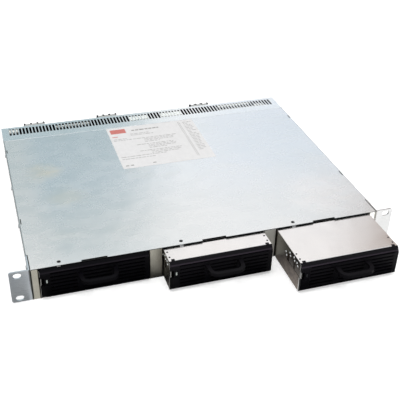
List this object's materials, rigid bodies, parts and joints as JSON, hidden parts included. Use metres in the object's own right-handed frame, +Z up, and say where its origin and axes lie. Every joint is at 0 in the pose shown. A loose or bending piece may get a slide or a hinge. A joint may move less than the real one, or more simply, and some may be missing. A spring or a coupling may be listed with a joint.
{
  "type": "rack power supply shelf",
  "caption": "Flat plated-steel rack shelf with slotted ears and a vented rear strip, holding plug-in power supply modules that slide out of their bays by black loop handles.",
  "frame": {"origin": "middle of the base plate's front edge, on its underside", "axes": "+X to the right seen from the front, +Y to the rear, +Z up"},
  "size_m": [0.4836, 0.4705, 0.044],
  "materials": {
    "zinc_steel": "satin",
    "post_steel": "satin",
    "ear_steel": "satin",
    "case_steel": "bright satin",
    "spring_steel": "polished",
    "shell_steel": "bright tin",
    "tinned_bar": "tin plated",
    "black_plastic": "fine texture",
    "fan_plastic": "smooth",
    "connector": "smooth",
    "lamp": "clear lens",
    "board": "solder mask",
    "heatsink": "extruded",
    "transformer": "ferrite and tape",
    "can_sleeve": "sleeve"
  },
  "bodies": {
    "shelf": {"chassis_tray": "zinc_steel", "rear_frame": "zinc_steel", "top_cover": "zinc_steel", "backplane_board": "board", "rack_ear_left": "ear_steel", "bay_post_left": "post_steel", "bay_divider_left": "post_steel", "rack_ear_right": "ear_steel", "bay_post_right": "post_steel", "bay_divider_right": "post_steel", "busbar_negative": "tinned_bar", "busbar_positive": "tinned_bar", "backplane_sockets": "connector", "input_terminal_left": "connector", "input_terminal_middle": "connector", "input_terminal_right": "connector", "signal_connectors": "shell_steel"},
    "left_module": {"left_case_tray": "case_steel", "left_case_lid": "case_steel", "left_bezel": "black_plastic", "left_pull_handle": "black_plastic", "left_status_light": "lamp", "left_fan_frames": "fan_plastic", "left_circuit_board": "board", "left_heatsinks": "heatsink", "left_transformer": "transformer", "left_capacitors": "can_sleeve", "left_plug_connector": "connector"},
    "left_latch": {"left_release_latch": "spring_steel"},
    "left_fan_left": {"left_fan_rotor_left": "fan_plastic"},
    "left_fan_right": {"left_fan_rotor_right": "fan_plastic"},
    "middle_module": {"middle_case_tray": "case_steel", "middle_case_lid": "case_steel", "middle_bezel": "black_plastic", "middle_pull_handle": "black_plastic", "middle_status_light": "lamp", "middle_fan_frames": "fan_plastic", "middle_circuit_board": "board", "middle_heatsinks": "heatsink", "middle_transformer": "transformer", "middle_capacitors": "can_sleeve", "middle_plug_connector": "connector"},
    "middle_latch": {"middle_release_latch": "spring_steel"},
    "middle_fan_left": {"middle_fan_rotor_left": "fan_plastic"},
    "middle_fan_right": {"middle_fan_rotor_right": "fan_plastic"},
    "right_module": {"right_case_tray": "case_steel", "right_case_lid": "case_steel", "right_bezel": "black_plastic", "right_pull_handle": "black_plastic", "right_status_light": "lamp", "right_fan_frames": "fan_plastic", "right_circuit_board": "board", "right_heatsinks": "heatsink", "right_transformer": "transformer", "right_capacitors": "can_sleeve", "right_plug_connector": "connector"},
    "right_latch": {"right_release_latch": "spring_steel"},
    "right_fan_left": {"right_fan_rotor_left": "fan_plastic"},
    "right_fan_right": {"right_fan_rotor_right": "fan_plastic"}
  },
  "joints": [
    {"name": "left_module_slide", "type": "slide", "parent": "shelf", "child": "left_module", "axis": [0, -1, 0], "range_m": [0, 0.27]},
    {"name": "left_latch_press", "type": "hinge", "parent": "left_module", "child": "left_latch", "pos_m": [-0.2068, 0.044, 0.026], "axis": [0, 0, 1], "range_deg": [0, 3.4], "stiffness_Nm_per_rad": 0.6},
    {"name": "left_fan_left_spin", "type": "hinge", "parent": "left_module", "child": "left_fan_left", "pos_m": [-0.1708, 0.018, 0.0213], "axis": [0, 1, 0], "continuous": true},
    {"name": "left_fan_right_spin", "type": "hinge", "parent": "left_module", "child": "left_fan_right", "pos_m": [-0.1148, 0.018, 0.0213], "axis": [0, 1, 0], "continuous": true},
    {"name": "middle_module_slide", "type": "slide", "parent": "shelf", "child": "middle_module", "axis": [0, -1, 0], "range_m": [-0.027, 0.243]},
    {"name": "middle_latch_press", "type": "hinge", "parent": "middle_module", "child": "middle_latch", "pos_m": [-0.062, 0.017, 0.026], "axis": [0, 0, 1], "range_deg": [0, 3.4], "stiffness_Nm_per_rad": 0.6},
    {"name": "middle_fan_left_spin", "type": "hinge", "parent": "middle_module", "child": "middle_fan_left", "pos_m": [-0.026, -0.009, 0.0213], "axis": [0, 1, 0], "continuous": true},
    {"name": "middle_fan_right_spin", "type": "hinge", "parent": "middle_module", "child": "middle_fan_right", "pos_m": [0.03, -0.009, 0.0213], "axis": [0, 1, 0], "continuous": true},
    {"name": "right_module_slide", "type": "slide", "parent": "shelf", "child": "right_module", "axis": [0, -1, 0], "range_m": [-0.0715, 0.1985]},
    {"name": "right_latch_press", "type": "hinge", "parent": "right_module", "child": "right_latch", "pos_m": [0.0828, -0.0275, 0.026], "axis": [0, 0, 1], "range_deg": [0, 3.4], "stiffness_Nm_per_rad": 0.6},
    {"name": "right_fan_left_spin", "type": "hinge", "parent": "right_module", "child": "right_fan_left", "pos_m": [0.1188, -0.0535, 0.0213], "axis": [0, 1, 0], "continuous": true},
    {"name": "right_fan_right_spin", "type": "hinge", "parent": "right_module", "child": "right_fan_right", "pos_m": [0.1748, -0.0535, 0.0213], "axis": [0, 1, 0], "continuous": true}
  ]
}
